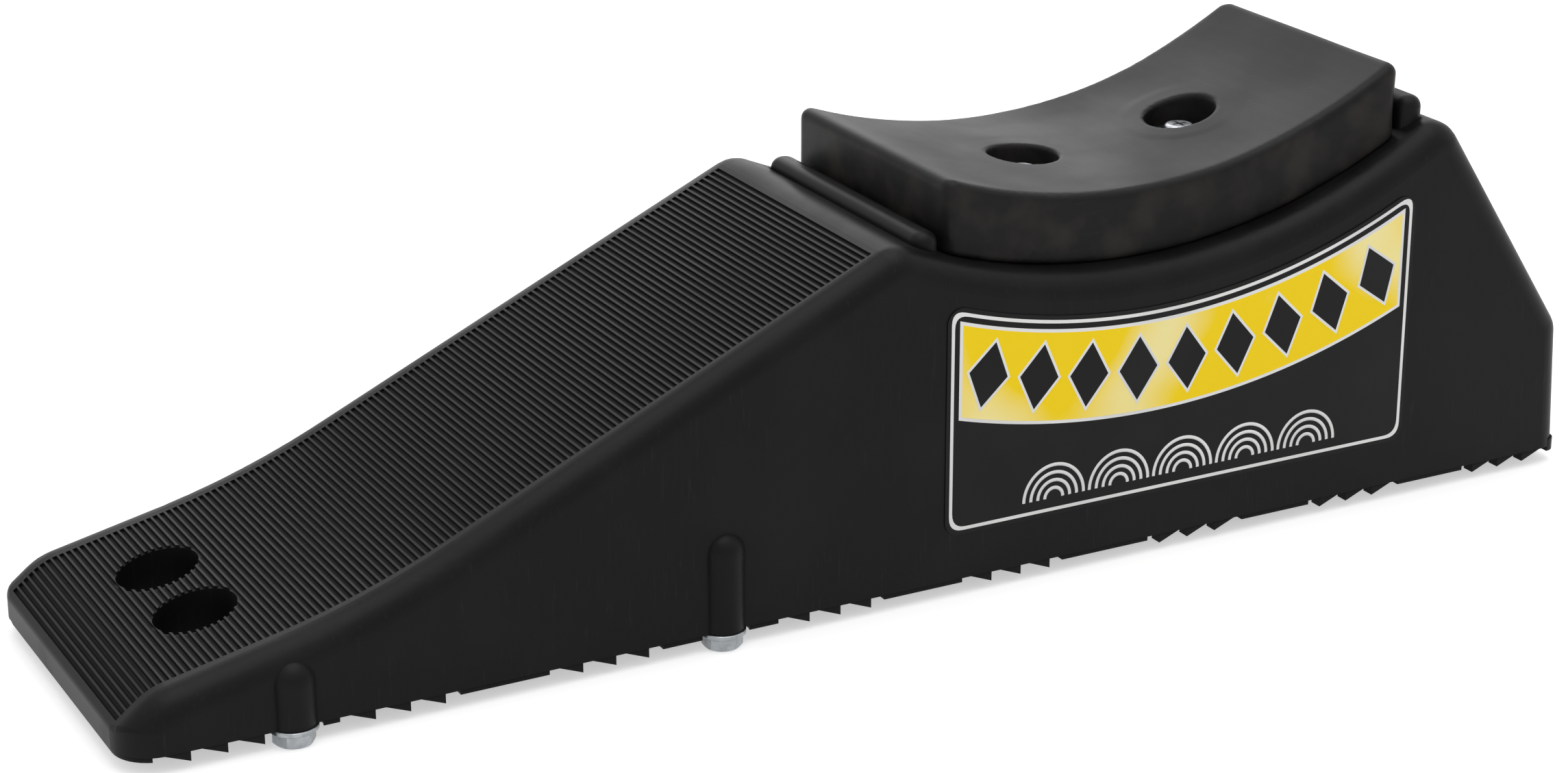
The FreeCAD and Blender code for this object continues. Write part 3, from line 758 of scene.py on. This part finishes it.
def label_outline(inset, looks):
    """The label's outline, a given distance inside its edge, as a closed row of points."""
    low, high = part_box("side_label")
    left = low[0] + inset
    right = high[0] - inset
    foot = low[2] + inset
    radius = LABEL_TOP_RADIUS + inset
    bend = looks.corner
    points = soft_corner((left, foot + bend), (left, foot), (left + bend, foot))
    points += soft_corner((right - bend, foot), (right, foot), (right, foot + bend))
    top_right = (right, arc_height(right, radius))
    points += soft_corner(
        (right, top_right[1] - bend), top_right, (right - bend, arc_height(right - bend, radius)))
    points += list(reversed(band_edge(left + bend, right - bend, radius)))[1:-1]
    top_left = (left, arc_height(left, radius))
    points += soft_corner(
        (left + bend, arc_height(left + bend, radius)), top_left, (left, top_left[1] - bend))
    return points + [points[0]]


def lozenge(name, size, slim, thickness):
    work = bmesh.new()
    corners = ((0, size), (size * slim, 0), (0, -size), (-size * slim, 0))
    back = [work.verts.new((x, 0.0, z)) for x, z in corners]
    front = [work.verts.new((x, -thickness, z)) for x, z in corners]
    work.faces.new(back)
    work.faces.new(list(reversed(front)))
    for a in range(4):
        b = (a + 1) % 4
        work.faces.new((back[a], front[a], front[b], back[b]))
    return new_piece(name, mesh_of(name, work))


def print_piece(piece, material):
    """Lays a piece of print on the label and gives it its body and ink."""
    lay_on_label(piece.data)
    piece.data.materials.clear()
    piece.data.materials.append(material)
    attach(piece, BODY)


class BodyOperator(bpy.types.Operator):
    """Give the moulded body its plastic"""

    bl_idname = "ramp.moulded_body"
    bl_label = "Moulded Body"

    def execute(self, context):
        finish_node("ramp_body", moulded_plastic())
        return {"FINISHED"}


class PadOperator(bpy.types.Operator):
    """Replace the pad's plain solid with moulded rubber"""

    bl_idname = "ramp.rubber_pad"
    bl_label = "Rubber Pad"

    def execute(self, context):
        looks = settings().rubber
        pad = pad_mesh(looks)
        wander(pad, looks)
        pad.data.materials.clear()
        pad.data.materials.append(moulded_rubber())
        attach(pad, BODY)
        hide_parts("saddle_pad")
        return {"FINISHED"}


class LabelOperator(bpy.types.Operator):
    """Print the generic label: a border, a band of lozenges and a row of fans"""

    bl_idname = "ramp.side_label"
    bl_label = "Side Label"

    def execute(self, context):
        looks = settings().label
        low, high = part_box("side_label")
        white = label_ink("white_ink", looks.white, worn_colour(looks.white, WORN_WHITE))
        yellow = label_ink("yellow_ink", looks.yellow, looks.pale)
        black = label_ink("black_ink", looks.black, worn_colour(looks.black, WORN_BLACK))
        finish_node("side_label", label_ground())
        self.add_border(looks, white)
        left = low[0] + looks.band_inset
        right = high[0] - looks.band_inset
        top = LABEL_TOP_RADIUS + looks.band_inset
        foot = top + looks.band_depth
        edge = strip(
            "label_band_edge", band_edge(left - looks.line, right + looks.line, top - looks.line),
            band_edge(left - looks.line, right + looks.line, foot + looks.line), 0.0, looks.layer)
        print_piece(new_piece("label_band_edge", edge), white)
        band = strip(
            "label_band", band_edge(left, right, top), band_edge(left, right, foot), 0.0,
            BAND_LAYERS * looks.layer)
        print_piece(new_piece("label_band", band), yellow)
        self.add_lozenges(looks, left, right, (top + foot) / 2, white, black)
        self.add_fans(looks, (low[0] + high[0]) / 2, low[2], white)
        return {"FINISHED"}

    def add_border(self, looks, white):
        outer = label_outline(looks.border_inset - looks.line, looks)
        inner = label_outline(looks.border_inset, looks)
        border = strip("label_border", outer, inner, 0.0, looks.layer)
        print_piece(new_piece("label_border", border), white)

    def add_lozenges(self, looks, left, right, radius, white, black):
        places = []
        turns = []
        for number in range(looks.lozenge_count):
            x = left + (right - left) * (number + 0.5) / looks.lozenge_count
            places.append((x, 0.0, arc_height(x, radius)))
            turns.append((0.0, -math.asin((x - SADDLE_CENTRE.x) / radius), 0.0))
        halo_size = looks.lozenge_size + looks.halo
        halo = lozenge("halo", halo_size, looks.lozenge_slim, HALO_LAYERS * looks.layer)
        print_piece(repeat("label_halos", halo, places, turns, white), white)
        mark = lozenge("mark", looks.lozenge_size, looks.lozenge_slim, LOZENGE_LAYERS * looks.layer)
        print_piece(repeat("label_lozenges", mark, places, turns, black), black)

    def add_fans(self, looks, centre, foot, white):
        values = {
            "Lines": looks.fan_lines,
            "First Radius": looks.fan_first,
            "Step": looks.fan_step,
            "Line Width": looks.line,
            "Thickness": FAN_LAYERS * looks.layer,
            "Finish": white,
        }
        fan = grow("fan", bpy.data.meshes.new("fan_start"), nested_arcs_tree(), values)
        reach = looks.fan_width / looks.fan_count
        start = centre - looks.fan_width / 2 + reach / 2
        height = foot + looks.border_inset + FAN_GAP * looks.line
        places = [(start + number * reach, 0.0, height) for number in range(looks.fan_count)]
        turns = [(0.0, 0.0, 0.0)] * looks.fan_count
        print_piece(repeat("label_fans", fan, places, turns, white), white)


class SoleFastenersOperator(bpy.types.Operator):
    """Replace the sole's bolts and washers with ones whose edges are broken, and finish the inserts"""

    bl_idname = "ramp.sole_fasteners"
    bl_label = "Sole Fasteners"

    def execute(self, context):
        looks = settings().metal
        zinc = plated_metal("zinc_plating", looks.zinc, looks.stained, looks.roughness)
        turns = [(0.0, 0.0, looks.middle_turn if place.startswith("middle") else 0.0) for place in BOLT_PLACES]
        for kind in ("sole_bolt_", "sole_washer_"):
            self.add_row(kind, turns, zinc, looks.edge)
        brass = plated_metal("insert_brass", looks.brass, worn_colour(looks.brass, WORN_BRASS), BRASS_ROUGHNESS)
        for node in nodes_named("sole_insert_") + nodes_named("pad_insert_"):
            finish_node(node, brass)
        return {"FINISHED"}

    def add_row(self, kind, turns, zinc, edge):
        nodes = [kind + place for place in BOLT_PLACES]
        axes = []
        for place in BOLT_PLACES:
            low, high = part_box("sole_washer_" + place)
            axes.append(Vector(((low[0] + high[0]) / 2, (low[1] + high[1]) / 2, 0.0)))
        source = new_piece(kind + "pattern", merged_mesh(nodes[0], kind + "pattern"))
        source.data.transform(Matrix.Translation(-axes[0]))
        bevel = source.modifiers.new("Broken Edges", "BEVEL")
        bevel.width = edge
        bevel.segments = 1
        bevel.limit_method = "ANGLE"
        bevel.angle_limit = math.radians(BROKEN_EDGE_ANGLE)
        pattern = settle(source, kind + "pattern_ready")
        pattern.data.shade_smooth()
        pattern.data.set_sharp_from_angle(angle=math.radians(SHARP_ANGLE))
        row = repeat(kind + "row", pattern, axes, turns, zinc)
        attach(row, BODY)
        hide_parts(*nodes)


class PadFastenersOperator(bpy.types.Operator):
    """Give the pad's screws and washers their plating"""

    bl_idname = "ramp.pad_fasteners"
    bl_label = "Pad Fasteners"

    def execute(self, context):
        looks = settings().metal
        roughness = looks.roughness + SCREW_DULLER
        plating = plated_metal("screw_plating", looks.screw_zinc, looks.zinc, roughness)
        for node in nodes_named("pad_screw_") + nodes_named("pad_washer_"):
            finish_node(node, plating)
        return {"FINISHED"}


def shown_rays(tree):
    """One on the rays that show the background: camera, glossy and transmission rays."""
    path = tree.nodes.new("ShaderNodeLightPath")
    shown = math_node(tree, "MAXIMUM", path.outputs["Is Camera Ray"], path.outputs["Is Glossy Ray"])
    return math_node(tree, "MAXIMUM", shown, path.outputs["Is Transmission Ray"])


class StudioOperator(bpy.types.Operator):
    """Set the camera, the lamps, the white surroundings and the pale floor"""

    bl_idname = "ramp.studio"
    bl_label = "Studio"

    def execute(self, context):
        looks = settings().studio
        self.add_camera(looks)
        self.add_world(looks)
        self.add_floor(looks)
        self.add_lamp("top_lamp", *TOP_LAMP, looks.top_power)
        self.add_lamp("back_lamp", *BACK_LAMP, looks.back_power)
        context.scene.view_settings.view_transform = "Standard"
        return {"FINISHED"}

    def add_camera(self, looks):
        level = math.cos(looks.pitch)
        ahead = Vector((math.sin(looks.yaw) * level, math.cos(looks.yaw) * level, -math.sin(looks.pitch)))
        right = Vector((math.cos(looks.yaw), -math.sin(looks.yaw), 0.0))
        up = right.cross(ahead)
        rolled = right * math.cos(looks.roll) + up * math.sin(looks.roll)
        above = up * math.cos(looks.roll) - right * math.sin(looks.roll)
        turn = Matrix((rolled, above, -ahead)).transposed().to_4x4()
        lens = bpy.data.cameras.new("view")
        lens.sensor_fit = "HORIZONTAL"
        lens.sensor_width = SENSOR_WIDTH
        lens.lens = looks.lens
        camera = bpy.data.objects.new("view", lens)
        camera.matrix_world = Matrix.Translation(Vector(looks.camera_place)) @ turn
        bpy.context.scene.collection.objects.link(camera)
        bpy.context.scene.camera = camera

    def add_world(self, looks):
        world = bpy.data.worlds.new("surroundings")
        world.use_nodes = True
        tree = world.node_tree
        shown = tree.nodes["Background"]
        shown.inputs["Color"].default_value = WHITE
        shown.inputs["Strength"].default_value = 1.0
        light = tree.nodes.new("ShaderNodeBackground")
        light.inputs["Color"].default_value = WHITE
        light.inputs["Strength"].default_value = looks.sky
        mix = tree.nodes.new("ShaderNodeMixShader")
        tree.links.new(shown_rays(tree), mix.inputs["Fac"])
        tree.links.new(light.outputs["Background"], mix.inputs[1])
        tree.links.new(shown.outputs["Background"], mix.inputs[2])
        tree.links.new(mix.outputs["Shader"], tree.nodes["World Output"].inputs["Surface"])
        bpy.context.scene.world = world

    def add_floor(self, looks):
        half = looks.floor_size / 2
        mesh = bpy.data.meshes.new("floor")
        corners = [(-half, -half, 0), (half, -half, 0), (half, half, 0), (-half, half, 0)]
        mesh.from_pydata(corners, [], [(0, 1, 2, 3)])
        floor = new_piece("floor", mesh)
        material = bpy.data.materials.new("pale_floor")
        material.use_nodes = True
        tree = material.node_tree
        tree.nodes.remove(tree.nodes["Principled BSDF"])
        paint = tree.nodes.new("ShaderNodeBsdfDiffuse")
        paint.inputs["Color"].default_value = FLOOR_PAINT
        glow = tree.nodes.new("ShaderNodeEmission")
        tree.links.new(math_node(tree, "MULTIPLY", shown_rays(tree), looks.floor_glow), glow.inputs["Strength"])
        both = tree.nodes.new("ShaderNodeAddShader")
        tree.links.new(paint.outputs["BSDF"], both.inputs[0])
        tree.links.new(glow.outputs["Emission"], both.inputs[1])
        tree.links.new(both.outputs["Shader"], tree.nodes["Material Output"].inputs["Surface"])
        mesh.materials.append(material)

    def add_lamp(self, name, place, target, size, power):
        light = bpy.data.lights.new(name, "AREA")
        light.shape = "SQUARE"
        light.size = size
        light.energy = power
        lamp = bpy.data.objects.new(name, light)
        lamp.location = place
        lamp.rotation_euler = (Vector(target) - Vector(place)).to_track_quat("-Z", "Y").to_euler()
        bpy.context.scene.collection.objects.link(lamp)


class RampPanel(bpy.types.Panel):
    """Lists the ramp's pieces with their sizes and colours"""

    bl_idname = "VIEW3D_PT_ramp_looks"
    bl_label = "Ramp Looks"
    bl_space_type = "VIEW_3D"
    bl_region_type = "UI"
    bl_category = "Ramp"

    def draw(self, context):
        groups = context.scene.ramp_settings
        for operator, group in STEPS:
            box = self.layout.box()
            box.operator(operator.bl_idname)
            looks = getattr(groups, group)
            for name in looks.__annotations__:
                box.prop(looks, name)


STEPS = (
    (BodyOperator, "plastic"),
    (PadOperator, "rubber"),
    (LabelOperator, "label"),
    (SoleFastenersOperator, "metal"),
    (PadFastenersOperator, "metal"),
    (StudioOperator, "studio"),
)
SETTING_CLASSES = (
    PlasticSettings, RubberSettings, LabelSettings, MetalSettings, StudioSettings, RampSettings)


def register():
    for item in SETTING_CLASSES:
        bpy.utils.register_class(item)
    for operator, group in STEPS:
        bpy.utils.register_class(operator)
    bpy.utils.register_class(RampPanel)
    bpy.types.Scene.ramp_settings = PointerProperty(type=RampSettings)


def unregister():
    del bpy.types.Scene.ramp_settings
    bpy.utils.unregister_class(RampPanel)
    for operator, group in reversed(STEPS):
        bpy.utils.unregister_class(operator)
    for item in reversed(SETTING_CLASSES):
        bpy.utils.unregister_class(item)


def main():
    register()
    bpy.ops.ramp.moulded_body()
    bpy.ops.ramp.rubber_pad()
    bpy.ops.ramp.side_label()
    bpy.ops.ramp.sole_fasteners()
    bpy.ops.ramp.pad_fasteners()
    bpy.ops.ramp.studio()
    bpy.context.view_layer.update()
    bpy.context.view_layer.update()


if __name__ == "__main__":
    main()
